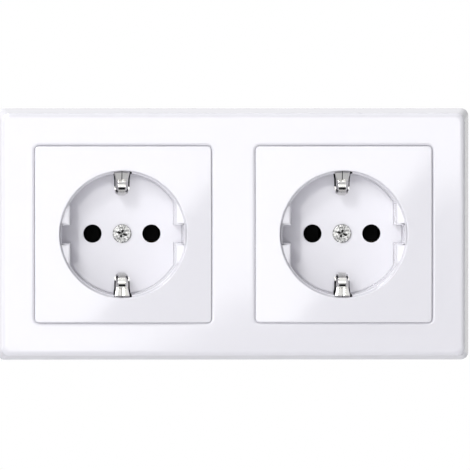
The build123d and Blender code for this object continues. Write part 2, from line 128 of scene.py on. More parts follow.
# Side of the fields that let the front follow its crown, and the flat left beside each round
FIELD = 4.0
GUARD = 0.2
WINDOW_HALF = 28.47
WINDOW_CORNER = 1.5
WINDOW_ROUND = 0.85
PASSAGE_HALF = 26.95
COLLAR_HALF = 30.15
RIB_SPREAD = 17.0
RIB_HALF = 0.6
RIB_BITE = 0.5
RIB_INSET = 2.4
RIB_DRAFT = 0.08
RIB_SHORT = 0.02

# Earth bracket: each contact arm's centre line as height, depth and bend, from its tip to its leg
STRIP_FRONT, STRIP_BACK = 0.3, 0.36
ARM_ROUTE = [(20.0, -7.3, 0), (17.4, -5.7, 0.4), (16.6, -5.75, 0.35), (15.6, -6.3, 0.5), (14.2, -5.7, 0.7),
             (12.8, -1.6, 0.9), (14.7, 4.525, 0.8), (14.7, 6.4, 0)]
ROUTE_STEP = 0.25
BEND_STEPS = 6
LEG_START = 6.0
BRACKET_EASE = 0.14
# Half width of an arm at its tip, what it loses down to the valley, and what it loses at the waist
ARM_HALF, TIP_TAPER, WAIST = 2.45, 0.4, 0.85
# Lengths along an arm in which lanes, tongue and waist come and go; the last three are counted from the nose
LANE_RUN, WAIST_RUN, NOSE_RUN, TONGUE_END, WAIST_END = 0.5, 0.35, 0.4, 1.2, 2.0
# Pressed heights: lanes; a tongue that falls between two half widths; edges rolled from a share of the half
# width on, with the square of the share that is left; flanges
LANE_HEIGHT = 0.2
TONGUE_HEIGHT, TONGUE_TOP, TONGUE_FOOT = 0.25, 1.2, 1.4
EDGE_ROLL, EDGE_START, EDGE_SQUARE = 0.16, 0.9, 0.01
FLANGE_START, FLANGE_FALL = 1.3, 0.8
# Places across an arm as shares of its half width: its front from the middle to an edge, and its back
ACROSS = [0, 0.1, 0.2, 0.34, 0.46, 0.51, 0.56, 0.61, 0.66, 0.72, 0.82, 0.9, 0.95, 1.0]
ACROSS_BACK = [0.96, 0.5, 0, -0.5, -0.96]
# Slit between the lanes, and window punched in the tongue
SLIT_PLACE, SLIT_HALF, SLIT_REACH, SLIT_DEPTHS = 19.9, 0.13, 2.5, (-11, -3.5)
PUNCH_HALF, PUNCH_REACH, PUNCH_DEPTHS = 0.36, 1.15, (-8, -1.6)
SLOT_END_STEPS = 8
UPPER_PUNCH, LOWER_PUNCH = 14.7, 16.45
UPPER_SHIFT, LOWER_SHIFT = -0.35, -0.3

# Screws
CENTRE_SHANK, CENTRE_HEAD, CENTRE_HEAD_HEIGHT, CENTRE_END = 1.5, 3.0, 1.3, 15.3
CLAW_SHANK, CLAW_HEAD, CLAW_HEAD_HEIGHT = 1.5, 2.6, 1.8
CENTRE_POINTS, CLAW_POINTS = 48, 32
CENTRE_DRIVE, CLAW_DRIVE = math.radians(72), math.pi / 4
THREAD_PITCH, THREAD_DEPTH, THREAD_RUNOUT, THREAD_STEPS = 0.5, 0.22, 0.3, 8
HEAD_CHAMFER, HEAD_ROUND, HEAD_DOME = 0.12, 0.4, 0.2
DOME_SHARES = (0.85, 0.65, 0.45)
# Cross recess from its mouth to its tip: reach and half width of an arm, and depth below the head's top
CROSS = [(1.75, 0.4, -0.2), (1.6, 0.35, 0.1), (0.5, 0.2, 2.2)]
SLOT_PAST, SLOT_HALF, SLOT_DEPTH = 0.4, 0.45, 0.6
# Marks between the arms, from one share of the head's radius to another
MARK_START, MARK_END, MARK_HALF, MARK_DEPTH = 0.5, 0.9, 0.1, 0.3


def add(tree, kind, inputs=None, **settings):
    """Adds a node with its settings; inputs holds plain values, or outputs of other nodes to link."""
    made = tree.nodes.new(kind)
    for name, value in settings.items():
        setattr(made, name, value)
    for name, value in (inputs or {}).items():
        if isinstance(value, bpy.types.NodeSocket):
            tree.links.new(value, made.inputs[name])
        else:
            made.inputs[name].default_value = value
    return made


def linear(colour):
    """Linear RGBA of an sRGB hex colour."""
    channels = [int(colour[k:k + 2], 16) / 255 for k in (1, 3, 5)]
    return [c / 12.92 if c <= 0.04045 else ((c + 0.055) / 1.055) ** 2.4 for c in channels] + [1.0]


def per(size):
    """Texture scale that gives features of about this size in millimetres."""
    return 1 / (size * MM)


# Materials

# Places of the colours among the mix node's inputs and outputs
FIRST_COLOUR, SECOND_COLOUR, MIXED_COLOUR = 6, 7, 2
# Sizes of each skin's patterns and the depth of its relief, in millimetres
POLISH_CLOUD, POLISH_GRAIN, POLISH_WAVE, POLISH_RELIEF = 24, 0.8, 7, 0.004
SPARK_CLOUD, SPARK_PIT, SPARK_RELIEF = 9, 0.35, 0.03
ROLLED_LINE, ROLLED_CLOUD, ROLLED_RELIEF = 0.25, 2.5, 0.006
RING_PITCH, SPECK, SCREW_RELIEF = 0.3, 0.45, 0.05
# Shares of open surroundings at which a corner gets all of its painted shade, and none
SHADE_FULL, SHADE_NONE = 0.25, 0.75
# Share of the turned rings in a screw's relief, and the range of specks that its bloom is drawn from
RING_SHARE = 0.25
BLOOM_LOW, BLOOM_HIGH = 0.36, 0.64


def start_material(name, **values):
    """New material with even values set on its shader.
    Returns it with its tree, its shader and the object's own coordinates."""
    material = bpy.data.materials.new(name)
    material.use_nodes = True
    tree = material.node_tree
    shader = tree.nodes["Principled BSDF"]
    for socket, value in values.items():
        shader.inputs[socket.replace("_", " ")].default_value = value
    return material, tree, shader, add(tree, "ShaderNodeTexCoord").outputs["Object"]


def shade(tree, shader, colours, tone, roughs, grain, height, relief, painted_shade=None):
    """Links a tone of two colours, a range of roughness driven by a grain, and a bump of so many millimetres.
    Painted shade in narrow corners and deep holes: its reach in millimetres, and the share of colour left."""
    mix = add(tree, "ShaderNodeMix", {0: tone}, data_type="RGBA")
    for place, tint in zip((FIRST_COLOUR, SECOND_COLOUR), colours):
        mix.inputs[place].default_value = linear(tint)
    colour = mix.outputs[MIXED_COLOUR]
    if painted_shade:
        # Painted shade: the colour is darkened where the surroundings close in, as in corners and holes
        open_share = add(tree, "ShaderNodeAmbientOcclusion", {"Distance": painted_shade[0] * MM}).outputs["AO"]
        colour_left = add(tree, "ShaderNodeMapRange", {"Value": open_share, "From Min": SHADE_FULL, "From Max": SHADE_NONE,
                                                 "To Min": painted_shade[1], "To Max": 1.0}).outputs["Result"]
        painted_darkening = add(tree, "ShaderNodeMix", {0: 1.0, FIRST_COLOUR: colour, SECOND_COLOUR: colour_left},
                   data_type="RGBA", blend_type="MULTIPLY")
        colour = painted_darkening.outputs[MIXED_COLOUR]
    rough = add(tree, "ShaderNodeMapRange", {"Value": grain, "To Min": roughs[0], "To Max": roughs[1]})
    bump = add(tree, "ShaderNodeBump", {"Height": height, "Strength": 1.0, "Distance": relief * MM})
    tree.links.new(colour, shader.inputs["Base Color"])
    tree.links.new(rough.outputs["Result"], shader.inputs["Roughness"])
    tree.links.new(bump.outputs["Normal"], shader.inputs["Normal"])


def polished_moulding(name, colours, roughs, ior):
    """Thermoplastic moulded against polished steel: an even colour, a wet gloss and a hardly wavy skin."""
    material, tree, shader, where = start_material(name, IOR=ior)
    cloud = add(tree, "ShaderNodeTexNoise",
                {"Vector": where, "Scale": per(POLISH_CLOUD), "Detail": 2.0}).outputs["Fac"]
    grain = add(tree, "ShaderNodeTexNoise",
                {"Vector": where, "Scale": per(POLISH_GRAIN), "Detail": 3.0}).outputs["Fac"]
    waves = add(tree, "ShaderNodeTexNoise",
                {"Vector": where, "Scale": per(POLISH_WAVE), "Detail": 1.0}).outputs["Fac"]
    shade(tree, shader, colours, cloud, roughs, grain, waves, relief=POLISH_RELIEF)
    return material


def spark_moulding(name, colours, roughs, ior, level=0.5, painted_shade=None):
    """Plastic out of a spark-eroded mould: a dull, finely pitted skin with a scuffed tone.
    The pits are drawn coarser than real ones, so that they show at the picture's size."""
    material, tree, shader, where = start_material(name, IOR=ior, Specular_IOR_Level=level)
    cloud = add(tree, "ShaderNodeTexNoise",
                {"Vector": where, "Scale": per(SPARK_CLOUD), "Detail": 4.0}).outputs["Fac"]
    pits = add(tree, "ShaderNodeTexVoronoi", {"Vector": where, "Scale": per(SPARK_PIT)}).outputs["Distance"]
    shade(tree, shader, colours, cloud, roughs, cloud, pits, relief=SPARK_RELIEF, painted_shade=painted_shade)
    return material


def plated_strip(name, colours, roughs, rolled, painted_shade=None):
    """Rolled strip, bare or with a thin plating: fine lines along the rolling on a slightly cloudy tone.
    The lines are drawn coarser than real ones."""
    material, tree, shader, where = start_material(name, Metallic=1.0)
    stretched = add(tree, "ShaderNodeMapping", {"Vector": where, "Scale": rolled}).outputs["Vector"]
    lines = add(tree, "ShaderNodeTexNoise",
                {"Vector": stretched, "Scale": per(ROLLED_LINE), "Detail": 3.0}).outputs["Fac"]
    cloud = add(tree, "ShaderNodeTexNoise",
                {"Vector": where, "Scale": per(ROLLED_CLOUD), "Detail": 3.0}).outputs["Fac"]
    shade(tree, shader, colours, cloud, roughs, lines, lines, relief=ROLLED_RELIEF, painted_shade=painted_shade)
    return material


def plated_screw(name, colours, roughs, painted_shade=None):
    """Cold-headed and plated steel: turned rings about the screw's own axis and a tumbled, speckled bloom.
    Rings and specks are drawn coarser than real ones."""
    material, tree, shader, where = start_material(name, Metallic=1.0)
    flat = add(tree, "ShaderNodeVectorMath", {0: where, 1: (1, 0, 1)}, operation="MULTIPLY").outputs[0]
    radius = add(tree, "ShaderNodeVectorMath", {0: flat}, operation="LENGTH").outputs["Value"]
    turns = add(tree, "ShaderNodeMath", {0: radius, 1: per(RING_PITCH) * 2 * math.pi}, operation="MULTIPLY")
    rings = add(tree, "ShaderNodeMath", {0: turns.outputs[0]}, operation="SINE").outputs[0]
    specks = add(tree, "ShaderNodeTexNoise",
                 {"Vector": where, "Scale": per(SPECK), "Detail": 3.0}).outputs["Fac"]
    height = add(tree, "ShaderNodeMath", {0: rings, 1: RING_SHARE, 2: specks},
                 operation="MULTIPLY_ADD").outputs[0]
    bloom = add(tree, "ShaderNodeMapRange", {"Value": specks, "From Min": BLOOM_LOW, "From Max": BLOOM_HIGH})
    shade(tree, shader, colours, bloom.outputs["Result"], roughs, specks, height, relief=SCREW_RELIEF,
          painted_shade=painted_shade)
    return material


# Scales that draw a pattern out along Y or Z, the way the strip was rolled
LONG_Y, LONG_Z = (1.0, 0.06, 1.0), (1.0, 1.0, 0.06)
MATERIALS = {
    # An even, faintly lilac white with a wet gloss that mirrors the soft box
    "gloss_white_moulding": polished_moulding("polished_white_asa", ("#e4e3e9", "#e6e5eb"),
                                              roughs=(0.04, 0.07), ior=1.52),
    # A dull charcoal, with painted shade that turns it black in its deep holes
    "black_moulding": spark_moulding("spark_eroded_black_polyamide", ("#29292b", "#343437"),
                                     roughs=(0.45, 0.65), ior=1.53, level=0.12, painted_shade=(8.0, 0.03)),
    # A waxy middle grey that sets the buttons off from the black around them
    "grey_button": spark_moulding("moulded_grey_acetal", ("#77797b", "#83858a"), roughs=(0.30, 0.45),
                                  ior=1.48),
    # A cool, cloudy silver
    "zinc_plated_sheet": plated_strip("blue_zinc_plated_sheet", ("#b9bec6", "#d2d3d4"), roughs=(0.24, 0.44),
                                      rolled=LONG_Z),
    # The same silver, livelier on the turns of the thread
    "zinc_plated_screw": plated_screw("blue_zinc_plated_steel", ("#b4b9c2", "#d6d7d9"), roughs=(0.22, 0.42)),
    # A warm, bright near-mirror, with painted shade in its folds and slits
    "nickel_plated_strip": plated_strip("nickel_plated_bronze", ("#d9d8d5", "#eae9e6"), roughs=(0.14, 0.24),
                                        rolled=LONG_Z, painted_shade=(0.5, 0.05)),
    # A head with light and dark specks, and painted shade in its recesses
    "nickel_plated_screw": plated_screw("nickel_plated_steel", ("#5e5e5e", "#dededc"), roughs=(0.30, 0.55),
                                        painted_shade=(0.7, 0.12)),
    # A yellow satin, with painted shade that makes it nearly black behind the pin holes
    "brass_strip": plated_strip("rolled_brass", ("#b48a40", "#c8a459"), roughs=(0.26, 0.42), rolled=LONG_Y,
                                painted_shade=(15.0, 0.01)),
    # A plain grey satin
    "spring_steel": plated_strip("rolled_stainless_spring", ("#a9a9a8", "#c4c4c2"), roughs=(0.20, 0.36),
                                 rolled=LONG_Y),
}


# Mesh tools


def spread(start, end, count):
    """Even steps from start up to, and without, end."""
    return [start + (end - start) * k / count for k in range(count)]


def polar(radius, angle, x=0.0, z=0.0):
    return x + radius * math.cos(angle), z + radius * math.sin(angle)


def bend(count):
    """Forward and sideways shares of a quarter bend, both from 0 to 1."""
    angles = spread(0, math.pi / 2, count) + [math.pi / 2]
    return [(math.sin(a), 1 - math.cos(a)) for a in angles]


def whole_turn(quarter):
    """Full outline from its first quarter, which runs from the X axis to the Z axis."""
    return (quarter + [(-x, z) for x, z in reversed(quarter)][1:] + [(-x, -z) for x, z in quarter][1:]
            + [(x, -z) for x, z in reversed(quarter)][1:-1])


def disc(radius, count, x=0.0):
    return [polar(radius, a, x) for a in spread(0, 2 * math.pi, count)]


def turned(outline, angle):
    cos, sin = math.cos(angle), math.sin(angle)
    return [(x * cos - z * sin, x * sin + z * cos) for x, z in outline]


def between(first, second, share):
    return [(a + (c - a) * share, b + (d - b) * share) for (a, b), (c, d) in zip(first, second)]


def skin(bm, rings):
    """Joins closed outlines of equal count, each with its depth, into a band of faces.
    Returns the rows of points."""
    rows = [[bm.verts.new((x * MM, depth * MM, z * MM)) for x, z in outline] for outline, depth in rings]
    for row, after in zip(rows, rows[1:]):
        for k in range(len(row)):
            bm.faces.new((row[k - 1], row[k], after[k], after[k - 1]))
    return rows


def solid(rings):
    """Closed band with a flat face on its first and last outline."""
    bm = bmesh.new()
    rows = skin(bm, rings)
    bm.faces.new(rows[0])
    bm.faces.new(rows[-1])
    bmesh.ops.recalc_face_normals(bm, faces=bm.faces)
    return bm


def sink(bm, limit, drop):
    """Sets the points in front of a depth back by the drop at their place."""
    for point in bm.verts:
        if point.co.y < limit * MM:
            point.co.y += drop(point.co.x / MM, point.co.z / MM) * MM


def part_fields(bm, limit, width, height):
    """Divides the faces in front of a depth into small fields, so that they can follow a curve."""
    for axis, length in ((0, width), (2, height)):
        across = Vector((1, 0, 0) if axis == 0 else (0, 0, 1))
        for place in spread(-length / 2, length / 2, round(length / FIELD))[1:]:
            faces = [f for f in bm.faces if all(v.co.y < limit * MM for v in f.verts)]
            edges = list({e for f in faces for e in f.edges})
            points = list({v for f in faces for v in f.verts})
            bmesh.ops.bisect_plane(bm, geom=faces + edges + points, dist=WELD, plane_co=across * place * MM,
                                   plane_no=across)


def fill(bm, rows):
    """Flat face inside the first row and outside the others."""
    edges = [bm.edges.get((row[k - 1], row[k])) for row in rows for k in range(len(row))]
    bmesh.ops.triangle_fill(bm, edges=edges, use_beauty=True)


def to_object(name, bm):
    mesh = bpy.data.meshes.new(name)
    bm.to_mesh(mesh)
    bm.free()
    made = bpy.data.objects.new(name, mesh)
    bpy.context.scene.collection.objects.link(made)
    return made


def combine(bm, tools, operation, folded=False):
    """Cuts the tools' volumes out of a solid, or joins them to it; a folded strip may touch itself."""
    joined = bmesh.new()
    for tool in tools:
        mesh = bpy.data.meshes.new("tool")
        tool.to_mesh(mesh)
        tool.free()
        joined.from_mesh(mesh)
        bpy.data.meshes.remove(mesh)
    blank, cutter = to_object("blank", bm), to_object("cutter", joined)
    cut = blank.modifiers.new("cut", "BOOLEAN")
    cut.operation, cut.object, cut.solver, cut.use_self = operation, cutter, "EXACT", folded
    ready = blank.evaluated_get(bpy.context.evaluated_depsgraph_get())
    made = bmesh.new()
    made.from_mesh(ready.to_mesh())
    ready.to_mesh_clear()
    for used in (blank, cutter):
        mesh = used.data
        bpy.data.objects.remove(used)
        bpy.data.meshes.remove(mesh)
    return made


def settle(name, bm, slot, body, replaced, at=(0.0, 0.0)):
    """Finished piece on its body, with its material; the node that it stands for is hidden.
    Flaps are taken off, and faces are shaded smooth up to hard edges."""
    bmesh.ops.remove_doubles(bm, verts=bm.verts, dist=WELD)
    slivers = [face for edge in bm.edges if len(edge.link_faces) > 2
               for face in edge.link_faces if face.calc_area() < SLIVER]
    bmesh.ops.delete(bm, geom=slivers, context="FACES")
    bmesh.ops.recalc_face_normals(bm, faces=bm.faces)
    for face in bm.faces:
        face.smooth = True
    for edge in bm.edges:
        edge.smooth = len(edge.link_faces) == 2 and edge.calc_face_angle(0) < math.radians(HARD_EDGE)
    made = to_object(name, bm)
    made.location = (at[0] * MM, 0, at[1] * MM)
    made.data.materials.append(MATERIALS[slot])
    even = made.modifiers.new("even_shading", "WEIGHTED_NORMAL")
    even.keep_sharp, even.thresh = True, 0.0
    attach(made, body)
    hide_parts(replaced)


def middle(node):
    """Centre of a node's box in millimetres, as seen from the front."""
    low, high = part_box(node)
    return (low.x + high.x) / 2 / MM, (low.z + high.z) / 2 / MM


# Cover plate with its plug well

# Directions between which the plate's corner lies
CORNER_START, CORNER_END = math.radians(43.4), math.radians(46.6)
# Steps along a quarter of the well: notch, its side, guide flat, and the arc before, at and after that corner
NOTCH_STEPS, NOTCH_SIDE_STEPS, GUIDE_STEPS = 6, 4, 10
ARC_STEPS = (8, 12, 30)


def arc_angles(start):
    """Angles up to the Z axis, close together where the plate has its corner."""
    before, at, after = ARC_STEPS
    return (spread(start, CORNER_START, before) + spread(CORNER_START, CORNER_END, at)
            + spread(CORNER_END, math.pi / 2, after) + [math.pi / 2])


def well_outline(inset, guide=None):
    """Plan of the well: a round wall with a guide flat on each side, and a notch at the middle of each flat.
    The guides may have an inset of their own."""
    radius, flat = WELL_RADIUS - inset, GUIDE_FLAT - (inset if guide is None else guide)
    notch = NOTCH_HALF - NOTCH_DRAFT * inset if guide is None else NOTCH_HALF - guide
    notch_end, flat_end = math.asin(notch / radius), math.acos(flat / radius)
    quarter = [polar(radius, a) for a in spread(0, notch_end, NOTCH_STEPS)]
    quarter += [(x, notch) for x in spread(radius * math.cos(notch_end), flat, NOTCH_SIDE_STEPS)]
    quarter += [(flat, z) for z in spread(notch, radius * math.sin(flat_end), GUIDE_STEPS)]
    return whole_turn(quarter + [polar(radius, a) for a in arc_angles(flat_end)])


WELL_ANGLES = [math.atan2(z, x) for x, z in well_outline(0)]


def round_outline(radius):
    return [polar(radius, a) for a in WELL_ANGLES]


def square_outline(half, corner):
    """Square with rounded corners, on the same rays as the well."""
    outline = []
    for a in WELL_ANGLES:
        cos, sin = abs(math.cos(a)), abs(math.sin(a))
        reach = half / max(cos, sin)
        inner = half - corner
        if reach * min(cos, sin) > inner:
            centre_reach = inner * (cos + sin)
            reach = centre_reach + math.sqrt(max(centre_reach * centre_reach - 2 * inner * inner
                                                 + corner * corner, 0))
        outline.append(polar(reach, a))
    return outline


def octagon_outline(flat):
    eighth = math.pi / 4
    return [polar(flat / math.cos((a + eighth / 2) % eighth - eighth / 2), a) for a in WELL_ANGLES]


def clip_slot(sign):
    """Cutter for the upper clip's slot or, with a negative sign, for the lower one's."""
    front, back = ([(x, sign * z) for x, z in half] + [(-x, sign * z) for x, z in reversed(half)]
                   for half in (CLIP_SLOT, CLIP_SLOT_BACK))
    return solid([(front, CLIP_SLOT_FRONT), (front, WELL_FLOOR + LIP), (back, FLOOR_BACK + CUT_PAST)])


def pin_hole(x):
    """Cutter for a pin hole with a rounded lip, which widens behind the floor."""
    lip = WELL_FLOOR - PIN_HOLE_STAND
    steps = [(PIN_HOLE + PIN_HOLE_ROUND, lip - CUT_PAST)]
    steps += [(PIN_HOLE + PIN_HOLE_ROUND * (1 - ahead), lip + PIN_HOLE_ROUND * aside)
              for ahead, aside in bend(ROUND_STEPS)]
    steps += [(PIN_HOLE, lip + LIP), (PIN_HOLE + PIN_HOLE_FLARE, FLOOR_BACK + CUT_PAST)]
    return solid([(disc(radius, PIN_HOLE_POINTS, x), depth) for radius, depth in steps])


def dish_floor(plate, foot):
    """Lifts the well's floor towards its wall in a shallow curve, which goes on into the notches."""
    for point in plate.verts:
        x, depth, z = point.co / MM
        if WELL_FLOOR - FLOOR_ROUND - DISH_NEAR < depth < WELL_FLOOR + DISH_NEAR:
            room = min(GUIDE_FLAT - foot - abs(x), WELL_RADIUS - foot - math.hypot(x, z))
            point.co.y -= FLOOR_DISH * max(1 - room / DISH_WIDTH, 0) ** 2 * MM


# Rows of points across the plate's front, with one close to each of its rounds
FRONT_ROWS = [0.012] + spread(0, 1, 7)[1:] + [0.985]


def cover_plate_shape():
    """Plate with rounded rim and drafted well, its hollow back and the cup behind the well."""
    foot = WALL_DRAFT + FLOOR_ROUND
    floor_edge = well_outline(foot)
    rings = [([(x * share, z * share) for x, z in floor_edge], WELL_FLOOR)
             for share in spread(DISH_START, 1, DISH_STEPS)]
    rings += [(well_outline(foot - FLOOR_ROUND * ahead), WELL_FLOOR - FLOOR_ROUND * aside)
              for ahead, aside in bend(FLOOR_STEPS)]
    rings += [(well_outline(-LEDGE_ROUND * aside, -GUIDE_ROUND * aside),
               WELL_LEDGE + GUIDE_ROUND * (1 - ahead)) for ahead, aside in bend(RIM_STEPS)]
    rings.append((round_outline(MOUTH_FOOT), WELL_LEDGE))
    rings += [(round_outline(MOUTH_TOP + MOUTH_ROUND * aside), PLATE_FRONT + MOUTH_ROUND * (1 - ahead))
              for ahead, aside in bend(ROUND_STEPS)]
    reach = PLATE_HALF - PLATE_ROUND
    mouth, shoulder = rings[-1][0], square_outline(reach, PLATE_CORNER - PLATE_ROUND)
    rings += [(between(mouth, shoulder, share), PLATE_FRONT) for share in FRONT_ROWS]
    rings += [(square_outline(reach + PLATE_ROUND * ahead, PLATE_CORNER - PLATE_ROUND * (1 - ahead)),
               PLATE_FRONT + PLATE_ROUND * aside) for ahead, aside in bend(RIM_STEPS)]
    hollow, back = square_outline(PLATE_HALF - PLATE_RIM, INNER_CORNER), PLATE_FRONT + PLATE_WALL
    rings += [(square_outline(PLATE_HALF, PLATE_CORNER), PLATE_SEAT), (hollow, PLATE_SEAT), (hollow, back),
              (octagon_outline(CUP_FLAT), back), (octagon_outline(CUP_FLAT), FLOOR_BACK - CUP_ROUND),
              (octagon_outline(CUP_FLAT - CUP_ROUND), FLOOR_BACK)]
    plate = solid(rings)
    dish_floor(plate, foot)
    flat = (MOUTH_TOP + MOUTH_ROUND) ** 2
    sink(plate, PLATE_CROWN_LIMIT, lambda x, z: PLATE_CROWN * max(x * x + z * z - flat, 0) / PLATE_HALF ** 2)
    screw_hole = [(disc(SCREW_HOLE, SCREW_HOLE_POINTS), depth)
                  for depth in (WELL_FLOOR - CUT_PAST, FLOOR_BACK + CUT_PAST)]
    tools = [clip_slot(1), clip_slot(-1), pin_hole(-PIN_X), pin_hole(PIN_X), solid(screw_hole)]
    return combine(plate, tools, "DIFFERENCE")


# Cover frame

# Steps along a quarter of the frame's outline, and round its edge
SIDE_STEPS, CORNER_STEPS, TOP_STEPS, EDGE_STEPS = 4, 10, 8, 12


def frame_outline(inset, corner):
    """Rounded rectangle, inset from the frame's outside."""
    x, z = FRAME_WIDTH / 2 - inset - corner, FRAME_HEIGHT / 2 - inset - corner
    quarter = [(x + corner, h) for h in spread(0, z, SIDE_STEPS)]
    quarter += [polar(corner, a, x, z) for a in spread(0, math.pi / 2, CORNER_STEPS)]
    return whole_turn(quarter + [(h, z + corner) for h in spread(x, 0, TOP_STEPS)] + [(0, z + corner)])


def frame_rib(left, right, low, high):
    """Low bar on the back of the frame, a little narrower at its top, with its ends let into the walls."""
    outlines = []
    for draft in (0, RIB_DRAFT):
        outlines.append([(left + draft, low + draft), (right - draft, low + draft),
                         (right - draft, high - draft), (left + draft, high - draft)])
    return solid([(outlines[0], FRAME_SKIN - RIB_BITE), (outlines[1], SEAT_BACK - RIB_SHORT)])


def frame_ribs(centres):
    """Ribs from the frame's walls to the collars round its windows, and between the collars."""
    ribs = []
    side, top = FRAME_WIDTH / 2 - RIB_INSET, FRAME_HEIGHT / 2 - RIB_INSET
    collar = COLLAR_HALF - RIB_BITE
    stops = [-side] + [c + s * collar for c in centres for s in (-1, 1)] + [side]
    for z in (-RIB_SPREAD, RIB_SPREAD):
        ribs += [frame_rib(stops[k], stops[k + 1], z - RIB_HALF, z + RIB_HALF)
                 for k in range(0, len(stops), 2)]
    for x in [c + s * RIB_SPREAD for c in centres for s in (-1, 1)]:
        ribs += [frame_rib(x - RIB_HALF, x + RIB_HALF, *ends) for ends in ((collar, top), (-top, -collar))]
    return ribs


def frame_rim():
    """Outlines from the wall up the drafted side and round the edge to the front."""
    draft = math.atan(-FRAME_DRAFT / FRAME_FRONT)
    middle_depth = FRAME_FRONT + FRAME_EDGE
    middle_inset = FRAME_DRAFT * middle_depth / FRAME_FRONT + FRAME_EDGE / math.cos(draft)
    rings = [(frame_outline(0, FRAME_CORNER), 0)]
    for a in spread(draft, math.pi / 2, EDGE_STEPS) + [math.pi / 2]:
        inset = middle_inset - FRAME_EDGE * math.cos(a)
        rings.append((frame_outline(inset, FRAME_CORNER), middle_depth - FRAME_EDGE * math.sin(a)))
    return rings + [(frame_outline(inset + GUARD, FRAME_CORNER), FRAME_FRONT)]


def cover_frame_shape(centres):
    """Frame with drafted sides, a rounded edge and a slightly crowned front, two windows with seats for the
    plates, and a hollow ribbed back."""
    bm = bmesh.new()
    deep = FRAME_WALL + FRAME_DRAFT * FRAME_SKIN / FRAME_FRONT
    hollow = [(frame_outline(deep, HOLLOW_CORNER), FRAME_SKIN), (frame_outline(FRAME_WALL, HOLLOW_CORNER), 0)]
    outside = skin(bm, hollow + frame_rim())
    fronts, backs = [outside[-1]], [outside[0]]
    passage, collar = square_outline(PASSAGE_HALF, INNER_CORNER), square_outline(COLLAR_HALF, INNER_CORNER)
    for centre in centres:
        rings = [(square_outline(WINDOW_HALF + WINDOW_ROUND + GUARD, WINDOW_CORNER + WINDOW_ROUND),
                  FRAME_FRONT)]
        for ahead, aside in bend(ROUND_STEPS):
            wider = WINDOW_ROUND * (1 - ahead)
            rings.append((square_outline(WINDOW_HALF + wider, WINDOW_CORNER + wider),
                          FRAME_FRONT + WINDOW_ROUND * aside))
        rings += [(square_outline(WINDOW_HALF, WINDOW_CORNER), PLATE_SEAT), (passage, PLATE_SEAT),
                  (passage, SEAT_BACK), (collar, SEAT_BACK), (collar, FRAME_SKIN)]
        window = skin(bm, [([(x + centre, z) for x, z in outline], depth) for outline, depth in rings])
        fronts.append(window[0])
        backs.append(window[-1])
    fill(bm, fronts)
    fill(bm, backs)
    bmesh.ops.recalc_face_normals(bm, faces=bm.faces)
    part_fields(bm, FRAME_CROWN_LIMIT, FRAME_WIDTH, FRAME_HEIGHT)
    sink(bm, FRAME_CROWN_LIMIT, lambda x, z: FRAME_CROWN_X * (2 * x / FRAME_WIDTH) ** 2
         + FRAME_CROWN_Z * (2 * z / FRAME_HEIGHT) ** 2)
    return combine(bm, frame_ribs(centres), "UNION")


# Screws, drawn about their own axis


def threaded(radius, start, end, count):
    """Outlines of a screw thread; each ring's radius rises and falls with the turn."""
    steps = round((end - start) / THREAD_PITCH * THREAD_STEPS)
    rings = []
    for k in range(steps + 1):
        depth = start + (end - start) * k / steps
        fade = min(1.0, (end - depth) / THREAD_PITCH, (depth - start) / THREAD_PITCH)
        outline = []
        for a in spread(0, 2 * math.pi, count):
            turn = (depth / THREAD_PITCH - a / (2 * math.pi)) % 1
            outline.append(polar(radius - THREAD_DEPTH * (1 - fade * (1 - abs(2 * turn - 1))), a))
        rings.append((outline, depth))
    return rings


def star(reach, width, angle):
    """Outline of a cross with four even arms."""
    arm = [(reach, -width), (reach, width), (width, width)]
    return [corner for k in range(4) for corner in turned(arm, angle + k * math.pi / 2)]


def groove(inner, outer, width, angle, top, depth):
    """Cutter for a straight groove in a screw head from one radius to another."""
    outline = turned([(inner, -width), (outer, -width), (outer, width), (inner, width)], angle)
    return solid([(outline, top - CUT_PAST), (outline, top + depth)])


def screw_shape(shank, head, height, seat, end, drive, count):
    """Machine screw with a low domed head, a cross recess in a wide slot and short marks between its arms."""
    top = seat - height
    rings = list(reversed(threaded(shank, seat + THREAD_RUNOUT, end, count)))
    rings += [(disc(shank, count), seat), (disc(head - HEAD_CHAMFER, count), seat),
              (disc(head, count), seat - HEAD_CHAMFER)]
    rings += [(disc(head - HEAD_ROUND * aside, count), top + HEAD_DOME + HEAD_ROUND * (1 - ahead))
              for ahead, aside in bend(ROUND_STEPS)]
    rings += [(disc((head - HEAD_ROUND) * share, count), top + HEAD_DOME * share * share)
              for share in DOME_SHARES]
    cross = solid([(star(reach, width, drive), top + depth) for reach, width, depth in CROSS])
    slot = groove(-head - SLOT_PAST, head + SLOT_PAST, SLOT_HALF, drive, top, SLOT_DEPTH)
    marks = [groove(head * MARK_START, head * MARK_END, MARK_HALF, drive + math.pi / 4 + k * math.pi / 2, top,
                    MARK_DEPTH) for k in range(4)]
    shape = combine(solid(rings), [cross], "DIFFERENCE")
    return combine(shape, [slot] + marks, "DIFFERENCE")


# Pieces that follow their nodes' solids


def eased(node, width):
    """Copy of a node's solid with its facets joined to whole faces and its tool edges rounded."""
    bm = bmesh.new()
    bm.from_mesh(frame["nodes"][node].data)
    bmesh.ops.remove_doubles(bm, verts=bm.verts, dist=NODE_WELD)
    bmesh.ops.dissolve_limit(bm, angle_limit=math.radians(FLAT_ANGLE), verts=bm.verts, edges=bm.edges)
    hard = [e for e in bm.edges if len(e.link_faces) == 2 and e.calc_face_angle(0) > math.radians(TOOL_EDGE)]
    bmesh.ops.bevel(bm, geom=hard, offset=width * MM, offset_type="OFFSET", segments=EASE_STEPS, profile=0.5,
                    affect="EDGES", clamp_overlap=True)
    return bm


# Earth bracket


